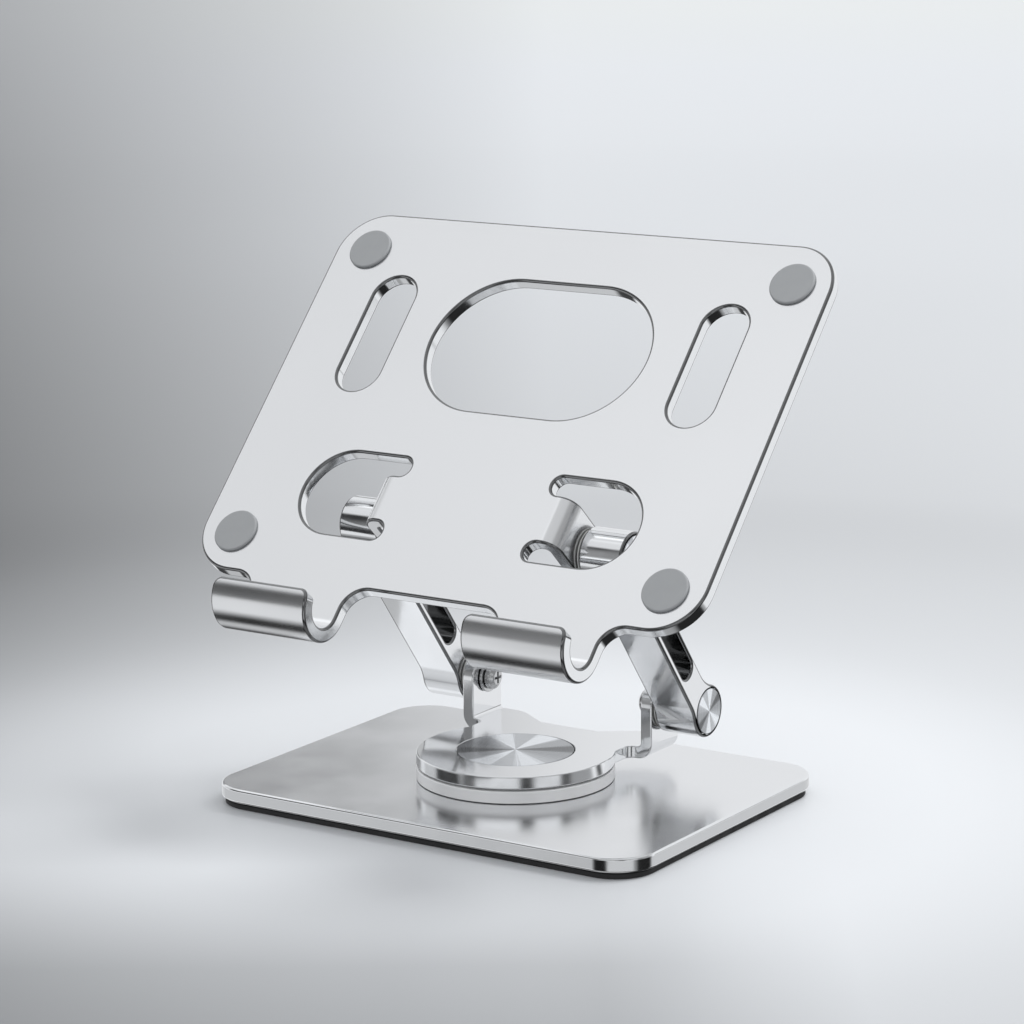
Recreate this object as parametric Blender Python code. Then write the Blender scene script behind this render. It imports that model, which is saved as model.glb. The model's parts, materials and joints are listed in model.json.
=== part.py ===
"""Tablet stand: a leaning tray on two arms, a yoke that turns on a heavy base plate.

X runs to the right, Y to the rear and Z up.
The origin is the centre of the underside, on the swivel axis.
"""

import math

import bmesh
import bpy
from mathutils import Vector

MM = 0.001
SEAM = 0.3 * MM

# Base plate and its foot pad
BASE_WIDTH = 137 * MM
BASE_DEPTH = 102 * MM
BASE_CORNER = 12 * MM
BASE_THICKNESS = 4 * MM
BASE_BEVEL = 0.7 * MM
PAD_THICKNESS = 1.5 * MM
PAD_INSET = 0.9 * MM
BASE_TOP = PAD_THICKNESS + SEAM + BASE_THICKNESS

# Turntable: ring, glide washer, and the disc of the yoke above them
DISC_RADIUS = 27.3 * MM
RING_BOTTOM = BASE_TOP + 0.2 * MM
RING_HEIGHT = 3.3 * MM
RING_INNER = 10 * MM
GLIDE_THICKNESS = 0.3 * MM
GLIDE_GAP = 0.15 * MM
DISC_BOTTOM = RING_BOTTOM + RING_HEIGHT + GLIDE_THICKNESS + 2 * GLIDE_GAP
YOKE_SHEET = 3.5 * MM
DISC_TOP = DISC_BOTTOM + YOKE_SHEET
YOKE_CAP_RADIUS = 16.1 * MM
YOKE_CAP_THICKNESS = 0.9 * MM
PIVOT_RADIUS = 3 * MM
PIVOT_HEAD_RADIUS = 7 * MM
PIVOT_HEAD_HEIGHT = 1.2 * MM
NUT_POCKET_DEPTH = 2.6 * MM
NUT_ACROSS_FLATS = 10 * MM
NUT_HEIGHT = 1.5 * MM
PIVOT_WASHER_RADIUS = 6 * MM
PIVOT_WASHER_THICKNESS = 0.5 * MM
RING_SCREW_CIRCLE = 19 * MM

# Hinges: the tabs and ears stand inside the arms
TAB_OUTER_FACE = 31.2 * MM
ARM_INNER_FACE = 32.2 * MM
ARM_WIDTH = 13 * MM
BEND_INSIDE = 1 * MM
SCREW_RADIUS = 2 * MM
CLEARANCE = 0.3 * MM
BOLT_HOLE = SCREW_RADIUS + CLEARANCE
BOSS_RADIUS = 7.3 * MM
ARM_CAP_RADIUS = 6.3 * MM
ARM_CAP_THICKNESS = 1 * MM
CAP_SEAT_DEPTH = 1.2 * MM
NUT_FLOOR = 4 * MM
NUT_ROOM = 4.7 * MM
SCREW_NUT_ACROSS_FLATS = 7 * MM
SCREW_NUT_HEIGHT = 3.2 * MM
HEAD_WASHER_RADIUS = 4.5 * MM
SPRING_WASHER_RADIUS = 4.2 * MM
STEEL_WASHER_THICKNESS = 0.8 * MM
FRICTION_WASHER_RADIUS = 6.6 * MM
FRICTION_WASHER_THICKNESS = 0.4 * MM

# Arms: from the lower hinge axis, leaning forward
LOWER_AXIS = Vector((0, 27.6 * MM, BASE_TOP + 18.5 * MM))
ARM_LENGTH = 63.3 * MM
ARM_LEAN = math.radians(37.8)
ARM_FRONT = 5.6 * MM
ARM_REAR = 3.6 * MM
ARM_BLEND = 12 * MM
ARM_SLOT_HALF_WIDTH = 2.9 * MM
ARM_SLOT_OFFSET = -0.6 * MM
ARM_SLOT_END = 16 * MM

# Tray: u runs up the sheet from the upper hinge axis, n stands out of its front face
TRAY_LEAN = math.radians(43)
TRAY_WIDTH = 160 * MM
TRAY_SHEET = 4 * MM
TRAY_CORNER = 14 * MM
AXIS_BEHIND_FRONT = 16 * MM
TRAY_TOP = 91.7 * MM
TRAY_BOTTOM = -28.2 * MM
SHEET_CHAMFER = 0.35 * MM
STADIUM_CENTRE = 51.5 * MM
STADIUM_RADIUS = 21.5 * MM
STADIUM_HALF_LENGTH = 34.5 * MM
SLOT_X = 53.4 * MM
SLOT_HALF_WIDTH = 6.9 * MM
SLOT_HALF_LENGTH = 19.3 * MM
CUTOUT_HALF_HEIGHT = 13.1 * MM
CUTOUT_OUTER_X = 53.2 * MM
RELIEF_INNER_X = 22.7 * MM
RELIEF_RADIUS = 2.8 * MM
PAD_X = 68.3 * MM
PAD_SPAN = 47.7 * MM
PAD_MIDDLE = 31.3 * MM
PAD_RADIUS = 6.45 * MM
PAD_HEIGHT = 1.2 * MM
PAD_GLUE_GAP = 0.05 * MM

# Hooks: tongues of the tray's bottom edge, curled forward through half a turn
HOOK_X = 40 * MM
HOOK_HALF_WIDTH = 15.5 * MM
HOOK_FILLET = 6.5 * MM
HOOK_START = -38 * MM
HOOK_INSIDE = 5.6 * MM
HOOK_CORNER = 2.5 * MM

ROUND_STEPS = 24
WASHER_STEPS = 16
ARC_STEP = math.radians(15)

MATERIALS = {
    "satin_aluminium": ((0.80, 0.80, 0.82), 0.30, 1.0),
    "polished_aluminium": ((0.86, 0.86, 0.88), 0.10, 1.0),
    "sunburst_aluminium": ((0.78, 0.78, 0.80), 0.22, 1.0),
    "steel": ((0.55, 0.56, 0.58), 0.30, 1.0),
    "black_rubber": ((0.02, 0.02, 0.02), 0.80, 0.0),
    "grey_silicone": ((0.36, 0.37, 0.37), 0.60, 0.0),
    "white_nylon": ((0.80, 0.80, 0.78), 0.50, 0.0),
}


def clear_scene():
    for obj in list(bpy.data.objects):
        bpy.data.objects.remove(obj)


def make_materials():
    for name, (colour, roughness, metallic) in MATERIALS.items():
        material = bpy.data.materials.new(name)
        material.use_nodes = True
        shader = material.node_tree.nodes["Principled BSDF"]
        shader.inputs["Base Color"].default_value = (*colour, 1)
        shader.inputs["Roughness"].default_value = roughness
        shader.inputs["Metallic"].default_value = metallic


def add_object(name, bm, material, parent=None, location=(0, 0, 0), rotation=(0, 0, 0)):
    """A named object from a bmesh, shaded smooth apart from its real edges."""
    bmesh.ops.recalc_face_normals(bm, faces=bm.faces)
    mesh = bpy.data.meshes.new(name)
    bm.to_mesh(mesh)
    bm.free()
    mesh.shade_smooth()
    mesh.set_sharp_from_angle(angle=math.radians(32))
    mesh.materials.append(bpy.data.materials[material])
    return place(name, mesh, parent, location, rotation)


def place(name, mesh, parent, location, rotation):
    obj = bpy.data.objects.new(name, mesh)
    bpy.context.scene.collection.objects.link(obj)
    obj.parent = parent
    obj.location = location
    obj.rotation_euler = rotation
    return obj


def add_axis(name, parent, location, lean=0):
    """An empty on a joint's axis; what moves with the joint hangs below it."""
    axis = place(name, None, parent, location, (lean, 0, 0))
    axis.empty_display_size = 10 * MM
    return axis


def cut(obj, cutter):
    """Takes the cutter's shape out of the object."""
    cutter.hide_render = True
    cutter.display_type = "WIRE"
    modifier = obj.modifiers.new(cutter.name, "BOOLEAN")
    modifier.operation = "DIFFERENCE"
    modifier.solver = "EXACT"
    modifier.object = cutter


def rounded_outline(corners):
    """Closed outline through corners (a, b, radius), each one rounded by an arc."""
    points = []
    for i, (a, b, radius) in enumerate(corners):
        here = Vector((a, b))
        before = (Vector(corners[i - 1][:2]) - here).normalized()
        after = (Vector(corners[(i + 1) % len(corners)][:2]) - here).normalized()
        half = before.angle(after) / 2
        centre = here + (before + after).normalized() * radius / math.sin(half)
        start = here + before * radius / math.tan(half) - centre
        turn = math.copysign(math.pi - 2 * half, after.cross(before))
        steps = max(1, math.ceil(abs(turn) / ARC_STEP - 1e-6))
        for k in range(steps + 1):
            points.append(centre + rotated(start, turn * k / steps))
    return points


def rotated(vector, angle):
    cosine, sine = math.cos(angle), math.sin(angle)
    return Vector((vector.x * cosine - vector.y * sine, vector.x * sine + vector.y * cosine))


def circle(radius, a=0.0, b=0.0, steps=ROUND_STEPS):
    turns = (math.tau * k / steps for k in range(steps))
    return [Vector((a + radius * math.cos(t), b + radius * math.sin(t))) for t in turns]


def box_corners(half_a, half_b, radius, a=0.0, b=0.0):
    return [(a + i * half_a, b + j * half_b, radius) for i, j in ((-1, -1), (1, -1), (1, 1), (-1, 1))]


def signed_area(points):
    return sum(points[i - 1].cross(points[i]) for i in range(len(points))) / 2


def drawn_in(points, distance):
    """The outline moved by a distance to its left, where the material is."""
    moved = []
    for i, point in enumerate(points):
        arriving = (point - points[i - 1]).normalized()
        leaving = (points[(i + 1) % len(points)] - point).normalized()
        normal = Vector((-arriving.y - leaving.y, arriving.x + leaving.x)).normalized()
        reach = distance / max(0.5, normal.dot(Vector((-leaving.y, leaving.x))))
        moved.append(point + normal * reach)
    return moved


def sheet(outer, holes, thickness, chamfer=0):
    """Flat sheet from c = 0 down to -thickness, with its edges chamfered, or square if chamfer is 0."""
    bm = bmesh.new()
    front, back = [], []
    for points, wanted in [(outer, 1)] + [(hole, -1) for hole in holes]:
        if signed_area(points) * wanted < 0:
            points = points[::-1]
        levels = [(points, -chamfer), (points, chamfer - thickness)]
        if chamfer:
            inner = drawn_in(points, chamfer)
            levels = [(inner, 0), *levels, (inner, -thickness)]
        rings = [[bm.verts.new((*p, c)) for p in ring] for ring, c in levels]
        for upper, lower in zip(rings, rings[1:]):
            for i in range(len(upper)):
                bm.faces.new((upper[i - 1], upper[i], lower[i], lower[i - 1]))
        front += [bm.edges.get((rings[0][i - 1], rings[0][i])) for i in range(len(points))]
        back += [bm.edges.get((rings[-1][i - 1], rings[-1][i])) for i in range(len(points))]
    for edges in (front, back):
        bmesh.ops.triangle_fill(bm, use_beauty=True, edges=edges)
    return bm


def turned(profile, steps=ROUND_STEPS, closed=False):
    """Body turned about Z from a profile of (radius, z); a closed profile makes a ring."""
    bm = bmesh.new()
    rings = []
    for radius, z in profile:
        points = circle(radius, steps=steps) if radius else [Vector((0, 0))]
        rings.append([bm.verts.new((*p, z)) for p in points])
    pairs = list(zip(rings, rings[1:]))
    if closed:
        pairs.append((rings[-1], rings[0]))
    for lower, upper in pairs:
        for k in range(steps):
            corners = [lower[k - 1], lower[k]] if len(lower) > 1 else [lower[0]]
            corners += [upper[k], upper[k - 1]] if len(upper) > 1 else [upper[0]]
            bm.faces.new(corners)
    return bm


def washer(outer_radius, inner_radius, thickness):
    profile = (
        (inner_radius, 0),
        (outer_radius, 0),
        (outer_radius, thickness),
        (inner_radius, thickness),
    )
    return turned(profile, steps=WASHER_STEPS, closed=True)


def disc_with_bevel(radius, thickness, bevel, steps=ROUND_STEPS):
    """Round disc from z = 0 up, its top edge bevelled."""
    profile = (
        (0, 0),
        (radius, 0),
        (radius, thickness - bevel),
        (radius - bevel, thickness),
        (0, thickness),
    )
    return turned(profile, steps)


def cut_across(bm, faces, point, normal):
    """Splits faces along a plane, so that a bend can follow it."""
    parts = set(faces)
    for face in faces:
        parts.update(face.edges)
        parts.update(face.verts)
    bmesh.ops.bisect_plane(bm, geom=list(parts), dist=1e-7, plane_co=point, plane_no=normal)


def nut_mesh(across_flats, bore, height):
    """Hexagon nut from z = 0 up."""
    corner = across_flats / 2 / math.cos(math.pi / 6)
    bm = sheet(circle(corner, steps=6), [circle(bore, steps=12)], height)
    bmesh.ops.translate(bm, verts=bm.verts, vec=(0, 0, height))
    return bm


# Base and turntable


def build_base():
    outline = rounded_outline(box_corners(BASE_WIDTH / 2, BASE_DEPTH / 2, BASE_CORNER))
    plate = sheet(outline, [circle(PIVOT_RADIUS + CLEARANCE)], BASE_THICKNESS, BASE_BEVEL)
    base = add_object("base_plate", plate, "polished_aluminium", location=(0, 0, BASE_TOP))
    bottom = BASE_TOP - BASE_THICKNESS
    pocket = disc_with_bevel(PIVOT_HEAD_RADIUS + CLEARANCE, NUT_POCKET_DEPTH + 1 * MM, 0.2 * MM)
    cut(base, add_object("nut_pocket", pocket, "steel", location=(0, 0, bottom - 1 * MM)))

    half_width = BASE_WIDTH / 2 - PAD_INSET
    half_depth = BASE_DEPTH / 2 - PAD_INSET
    outline = rounded_outline(box_corners(half_width, half_depth, BASE_CORNER - PAD_INSET))
    pad = sheet(outline, [], PAD_THICKNESS)
    add_object("foot_pad", pad, "black_rubber", location=(0, 0, PAD_THICKNESS))
    return base


def build_turntable(base):
    """Ring, its three screws from below, and the glide washer: all stay with the base plate."""
    edge = 0.4 * MM
    profile = (
        (RING_INNER, 0),
        (DISC_RADIUS, 0),
        (DISC_RADIUS, RING_HEIGHT - edge),
        (DISC_RADIUS - edge, RING_HEIGHT),
        (RING_INNER, RING_HEIGHT),
    )
    ring = add_object(
        "turntable_ring",
        turned(profile, steps=48, closed=True),
        "satin_aluminium",
        location=(0, 0, RING_BOTTOM),
    )
    glide = washer(DISC_RADIUS - 2 * MM, RING_INNER, GLIDE_THICKNESS)
    top = RING_BOTTOM + RING_HEIGHT + GLIDE_GAP
    add_object("glide_washer", glide, "white_nylon", location=(0, 0, top))

    bottom = BASE_TOP - BASE_THICKNESS
    shaft, head, head_height = 1.5 * MM, 2.8 * MM, 1.2 * MM
    length = 6 * MM
    head_bottom = bottom + 0.4 * MM
    screw_profile = (
        (0, 0),
        (head, 0),
        (head, head_height),
        (shaft, head_height),
        (shaft, length),
        (0, length),
    )
    hole_profile = (
        (0, -1 * MM),
        (head + CLEARANCE, -1 * MM),
        (head + CLEARANCE, head_height + CLEARANCE),
        (shaft + CLEARANCE, head_height + CLEARANCE),
        (shaft + CLEARANCE, length + CLEARANCE),
        (0, length + CLEARANCE),
    )
    for k in range(3):
        turn = math.radians(90 + 120 * k)
        x, y = RING_SCREW_CIRCLE * math.cos(turn), RING_SCREW_CIRCLE * math.sin(turn)
        spot = (x, y, head_bottom)
        add_object(f"ring_screw_{k + 1}", turned(screw_profile, steps=16), "steel", location=spot)
        hole = add_object(
            f"ring_screw_hole_{k + 1}", turned(hole_profile, steps=16), "steel", location=spot
        )
        cut(base, hole)
        cut(ring, hole)


# Yoke


def yoke_outline():
    """Disc with a neck to each side that runs out into an ear; the ears are still flat."""
    front = LOWER_AXIS.y - BOSS_RADIUS
    rear = LOWER_AXIS.y + BOSS_RADIUS
    neck_x = 24.2 * MM
    neck_turn = math.atan2(math.sqrt(DISC_RADIUS**2 - neck_x**2), neck_x)
    bend_length = math.pi / 2 * (BEND_INSIDE + YOKE_SHEET / 2)
    rise = LOWER_AXIS.z + BOSS_RADIUS - (DISC_TOP + BEND_INSIDE)
    ear_end = TAB_OUTER_FACE - BEND_INSIDE - YOKE_SHEET + bend_length + rise
    first, last = -math.pi - neck_turn, neck_turn
    steps = 36
    points = [
        rotated(Vector((DISC_RADIUS, 0)), first + (last - first) * k / steps) for k in range(steps + 1)
    ]
    # From the end of the disc's arc out along the right ear, and back along the left one
    side = [
        (*points[-1], 0.01 * MM),
        (neck_x, front, 2.5 * MM),
        (ear_end, front, BOSS_RADIUS - 0.05 * MM),
        (ear_end, rear, BOSS_RADIUS - 0.05 * MM),
        (20 * MM, rear, 9 * MM),
        (6 * MM, 25.5 * MM, 9 * MM),
    ]
    corners = side + [(-x, y, radius) for x, y, radius in reversed(side)]
    return points[1:-1] + rounded_outline(corners)


def bend_ear(point):
    """Folds what lies beyond the bend line up into an ear."""
    radius = BEND_INSIDE + YOKE_SHEET / 2
    bend_x = TAB_OUTER_FACE - BEND_INSIDE - YOKE_SHEET
    beyond = abs(point.x) - bend_x
    if beyond <= 0:
        return point
    turn = min(beyond / radius, math.pi / 2)
    straight = max(0, beyond - radius * math.pi / 2)
    reach = BEND_INSIDE - point.z
    x = bend_x + reach * math.sin(turn)
    z = BEND_INSIDE - reach * math.cos(turn) + straight
    return Vector((math.copysign(x, point.x), point.y, z))


def build_yoke(swivel, arm_axis):
    bend_x = TAB_OUTER_FACE - BEND_INSIDE - YOKE_SHEET
    radius = BEND_INSIDE + YOKE_SHEET / 2
    bm = sheet(yoke_outline(), [circle(PIVOT_RADIUS + CLEARANCE, steps=24)], YOKE_SHEET, SHEET_CHAMFER)
    for side in (-1, 1):
        for k in range(7):
            x = side * (bend_x + radius * math.pi / 2 * k / 6)
            cut_across(bm, list(bm.faces), (x, 0, 0), (1, 0, 0))
    for vert in bm.verts:
        vert.co = bend_ear(vert.co)
    yoke = add_object("yoke", bm, "polished_aluminium", swivel, (0, 0, DISC_TOP))

    pocket_depth = YOKE_CAP_THICKNESS + SEAM
    head_depth = pocket_depth + PIVOT_HEAD_HEIGHT + 2 * 0.1 * MM
    outside = 1 * MM
    pocket = turned(
        (
            (0, -head_depth),
            (PIVOT_HEAD_RADIUS + CLEARANCE, -head_depth),
            (PIVOT_HEAD_RADIUS + CLEARANCE, -pocket_depth),
            (YOKE_CAP_RADIUS + CLEARANCE, -pocket_depth),
            (YOKE_CAP_RADIUS + CLEARANCE, outside),
            (0, outside),
        ),
        steps=48,
    )
    cut(yoke, add_object("cap_pocket", pocket, "steel", swivel, (0, 0, DISC_TOP)))
    reach = TAB_OUTER_FACE + 1 * MM
    bore = turned(((0, -reach), (BOLT_HOLE, -reach), (BOLT_HOLE, reach), (0, reach)), steps=24)
    cut(yoke, add_object("ear_bore", bore, "steel", arm_axis, (0, 0, 0), (0, math.pi / 2, 0)))

    cap = disc_with_bevel(YOKE_CAP_RADIUS, YOKE_CAP_THICKNESS, 0.15 * MM, steps=48)
    add_object("yoke_cap", cap, "sunburst_aluminium", swivel, (0, 0, DISC_TOP - YOKE_CAP_THICKNESS))


def build_pivot(swivel):
    """Bolt under the cap, and the washer and nut that hold it in the pocket below the base plate."""
    head_top = DISC_TOP - YOKE_CAP_THICKNESS - SEAM - 0.1 * MM
    length = head_top - (BASE_TOP - BASE_THICKNESS)
    bolt = turned(
        (
            (0, -length),
            (PIVOT_RADIUS, -length),
            (PIVOT_RADIUS, -PIVOT_HEAD_HEIGHT),
            (PIVOT_HEAD_RADIUS, -PIVOT_HEAD_HEIGHT),
            (PIVOT_HEAD_RADIUS, 0),
            (0, 0),
        ),
        steps=24,
    )
    add_object("pivot_bolt", bolt, "steel", swivel, (0, 0, head_top))
    bottom = BASE_TOP - BASE_THICKNESS
    bore = PIVOT_RADIUS + CLEARANCE
    nut = nut_mesh(NUT_ACROSS_FLATS, bore, NUT_HEIGHT)
    add_object("pivot_nut", nut, "steel", swivel, (0, 0, bottom))
    ring = washer(PIVOT_WASHER_RADIUS, bore, PIVOT_WASHER_THICKNESS)
    add_object("pivot_washer", ring, "steel", swivel, (0, 0, bottom + NUT_HEIGHT + SEAM))


# Arms


def arm_outline():
    """Side view of an arm: a round boss at each end, blended into a bar that sits nearer the front."""
    quarter = []
    for depth, side in ((ARM_REAR, 1), (ARM_FRONT, -1)):
        along = math.sqrt((BOSS_RADIUS + ARM_BLEND) ** 2 - (depth + ARM_BLEND) ** 2)
        centre = Vector((side * (depth + ARM_BLEND), along))
        turn = math.atan2(along, depth + ARM_BLEND)
        steps = 5
        blend = []
        for k in range(steps + 1):
            angle = turn * (1 - k / steps)
            offset = Vector((-side * math.cos(angle), -math.sin(angle))) * ARM_BLEND
            blend.append(centre + offset)
        quarter.append((side, turn, blend))
    (_, rear_turn, rear_blend), (_, front_turn, front_blend) = quarter
    steps = 22
    first, last = math.pi - front_turn, math.tau + rear_turn
    turns = (first + (last - first) * k / steps for k in range(1, steps))
    boss = [rotated(Vector((BOSS_RADIUS, 0)), turn) for turn in turns]
    lower = list(reversed(front_blend)) + boss + rear_blend
    upper = [Vector((p.x, ARM_LENGTH - p.y)) for p in reversed(lower)]
    return lower + upper


def arm_slot():
    middle = ARM_LENGTH / 2
    half = middle - ARM_SLOT_END
    radius = ARM_SLOT_HALF_WIDTH - 0.05 * MM
    return rounded_outline(box_corners(ARM_SLOT_HALF_WIDTH, half, radius, ARM_SLOT_OFFSET, middle))


def hinge_bore(name, parent, side):
    """What is drilled into a boss: bolt hole, nut chamber and the seat of the cap."""
    seat = ARM_CAP_RADIUS + CLEARANCE
    seat_floor = ARM_WIDTH - CAP_SEAT_DEPTH
    profile = (
        (0, -1 * MM),
        (BOLT_HOLE, -1 * MM),
        (BOLT_HOLE, NUT_FLOOR),
        (NUT_ROOM, NUT_FLOOR),
        (NUT_ROOM, seat_floor),
        (seat, seat_floor),
        (seat, ARM_WIDTH + 1 * MM),
        (0, ARM_WIDTH + 1 * MM),
    )
    spot = (side * ARM_INNER_FACE, 0, 0)
    return add_object(name, turned(profile), "steel", parent, spot, (0, side * math.pi / 2, 0))


def build_arm(name, side, arm_axis, tray_axis):
    bm = sheet(arm_outline(), [arm_slot()], ARM_WIDTH, 0.5 * MM)
    inner = ARM_INNER_FACE if side > 0 else -ARM_INNER_FACE - ARM_WIDTH
    for vert in bm.verts:
        across, along, depth = vert.co
        vert.co = (inner - depth, across, along)
    arm = add_object(f"arm_{name}", bm, "satin_aluminium", arm_axis)
    cut(arm, hinge_bore(f"lower_bore_{name}", arm_axis, side))
    cut(arm, hinge_bore(f"upper_bore_{name}", tray_axis, side))


def screw_mesh(shaft_length):
    """Pan-head screw: underside of the head at z = 0, shaft upwards, cross in the head below."""
    head = 3.6 * MM
    height = 2.3 * MM
    profile = (
        (0, -height),
        (head - 1.1 * MM, -height),
        (head - 0.2 * MM, -height + 0.9 * MM),
        (head, 0),
        (SCREW_RADIUS, 0),
        (SCREW_RADIUS, shaft_length),
        (0, shaft_length),
    )
    return turned(profile, steps=20)


def cross_cutter():
    """Cross recess of a screw head, 1.2 mm deep."""
    long, short = 2.1 * MM, 0.45 * MM
    corners = []
    for k in range(4):
        for a, b in ((long, -short), (long, short), (short, short)):
            corners.append(rotated(Vector((a, b)), k * math.pi / 2))
    bm = sheet(corners, [], 2.4 * MM)
    bmesh.ops.translate(bm, verts=bm.verts, vec=(0, 0, -1.1 * MM))
    return bm


def build_hinge(level, name, side, axis, sheet_thickness):
    """Screw through a tab (or an ear) and the boss of an arm, with its washers, nut and cap."""

    def add(kind, bm, material, x):
        turn = (0, side * math.pi / 2, 0)
        return add_object(f"{level}_{kind}_{name}", bm, material, axis, (side * x, 0, 0), turn)

    under_washer = TAB_OUTER_FACE - sheet_thickness - SEAM - STEEL_WASHER_THICKNESS
    under_head = under_washer - SEAM
    nut_floor = ARM_INNER_FACE + NUT_FLOOR
    nut_start = nut_floor + STEEL_WASHER_THICKNESS + 2 * SEAM
    tip = nut_start + SCREW_NUT_HEIGHT + 0.2 * MM

    screw = add("screw", screw_mesh(tip - under_head), "steel", under_head)
    cut(screw, add("cross", cross_cutter(), "steel", under_head))
    head_washer = washer(HEAD_WASHER_RADIUS, BOLT_HOLE, STEEL_WASHER_THICKNESS)
    add("head_washer", head_washer, "steel", under_washer)
    friction_washer = washer(FRICTION_WASHER_RADIUS, BOLT_HOLE, FRICTION_WASHER_THICKNESS)
    add("friction_washer", friction_washer, "white_nylon", TAB_OUTER_FACE + SEAM)
    spring_washer = washer(SPRING_WASHER_RADIUS, BOLT_HOLE, STEEL_WASHER_THICKNESS)
    add("spring_washer", spring_washer, "steel", nut_floor + SEAM)
    nut = nut_mesh(SCREW_NUT_ACROSS_FLATS, BOLT_HOLE, SCREW_NUT_HEIGHT)
    add("nut", nut, "steel", nut_start)
    cap = disc_with_bevel(ARM_CAP_RADIUS, ARM_CAP_THICKNESS, 0.2 * MM)
    add("cap", cap, "sunburst_aluminium", ARM_INNER_FACE + ARM_WIDTH - CAP_SEAT_DEPTH + SEAM)


# Tray


def tray_outline():
    """Outline of the flat sheet, with the tongues of the hooks still straight."""
    half = TRAY_WIDTH / 2
    tip = HOOK_START - math.pi * (HOOK_INSIDE + TRAY_SHEET / 2)
    inner, outer = HOOK_X - HOOK_HALF_WIDTH, HOOK_X + HOOK_HALF_WIDTH
    right = [
        (inner, TRAY_BOTTOM, HOOK_FILLET),
        (inner, tip, HOOK_CORNER),
        (outer, tip, HOOK_CORNER),
        (outer, TRAY_BOTTOM, HOOK_FILLET),
        (half, TRAY_BOTTOM, TRAY_CORNER),
        (half, TRAY_TOP, TRAY_CORNER),
    ]
    return rounded_outline(right + [(-x, u, radius) for x, u, radius in reversed(right)])


def tab_bend_x():
    return TAB_OUTER_FACE - BEND_INSIDE - TRAY_SHEET


def tab_tip_x():
    """Where the tip of a hinge tab lies while the sheet is flat."""
    straight = AXIS_BEHIND_FRONT + BOSS_RADIUS - BEND_INSIDE - TRAY_SHEET
    return tab_bend_x() + math.pi / 2 * (BEND_INSIDE + TRAY_SHEET / 2) + straight


def tab_cutout(side):
    """D-shaped hole around a hinge tab, with a relief notch at each end of the bend."""
    tab_radius = BOSS_RADIUS - 0.05 * MM
    corners = [
        (RELIEF_INNER_X, CUTOUT_HALF_HEIGHT, RELIEF_RADIUS),
        (CUTOUT_OUTER_X, CUTOUT_HALF_HEIGHT, CUTOUT_HALF_HEIGHT - 0.05 * MM),
        (CUTOUT_OUTER_X, -CUTOUT_HALF_HEIGHT, CUTOUT_HALF_HEIGHT - 0.05 * MM),
        (RELIEF_INNER_X, -CUTOUT_HALF_HEIGHT, RELIEF_RADIUS),
        (RELIEF_INNER_X, -BOSS_RADIUS, RELIEF_RADIUS),
        (tab_tip_x(), -BOSS_RADIUS, tab_radius),
        (tab_tip_x(), BOSS_RADIUS, tab_radius),
        (RELIEF_INNER_X, BOSS_RADIUS, RELIEF_RADIUS),
    ]
    return rounded_outline([(side * x, u, radius) for x, u, radius in corners])


def in_tab(x, u):
    edge = 0.02 * MM
    return tab_bend_x() - edge < abs(x) < tab_tip_x() + edge and abs(u) < BOSS_RADIUS + edge


def bend_tab(point):
    """Folds a hinge tab straight back."""
    neutral = BEND_INSIDE + TRAY_SHEET / 2
    outside = BEND_INSIDE + TRAY_SHEET
    beyond = max(0, abs(point.x) - tab_bend_x())
    turn = min(beyond / neutral, math.pi / 2)
    straight = max(0, beyond - neutral * math.pi / 2)
    reach = outside + point.z
    x = tab_bend_x() + reach * math.sin(turn)
    n = reach * math.cos(turn) - outside - straight
    return Vector((math.copysign(x, point.x), point.y, n))


def bend_hook(point):
    """Curls the end of a tongue forward through half a turn."""
    neutral = HOOK_INSIDE + TRAY_SHEET / 2
    turn = (HOOK_START - point.y) / neutral
    reach = HOOK_INSIDE - point.z
    u = HOOK_START - reach * math.sin(turn)
    n = HOOK_INSIDE - reach * math.cos(turn)
    return Vector((point.x, u, n))


def cut_bend_lines(bm):
    """Splits the flat sheet along the lines where it is going to bend."""
    hook_steps = 12
    hook_length = math.pi * (HOOK_INSIDE + TRAY_SHEET / 2)
    for k in range(hook_steps):
        cut_across(bm, list(bm.faces), (0, HOOK_START - hook_length * k / hook_steps, 0), (0, 1, 0))
    tab_steps = 6
    tab_length = math.pi / 2 * (BEND_INSIDE + TRAY_SHEET / 2)
    for side in (-1, 1):
        for k in range(tab_steps + 1):
            x = side * (tab_bend_x() + tab_length * k / tab_steps)
            faces = list(bm.faces)
            if k > 0:
                middles = ((face, face.calc_center_median()) for face in bm.faces)
                faces = [face for face, middle in middles if in_tab(middle.x, middle.y)]
            cut_across(bm, faces, (x, 0, 0), (1, 0, 0))


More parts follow.
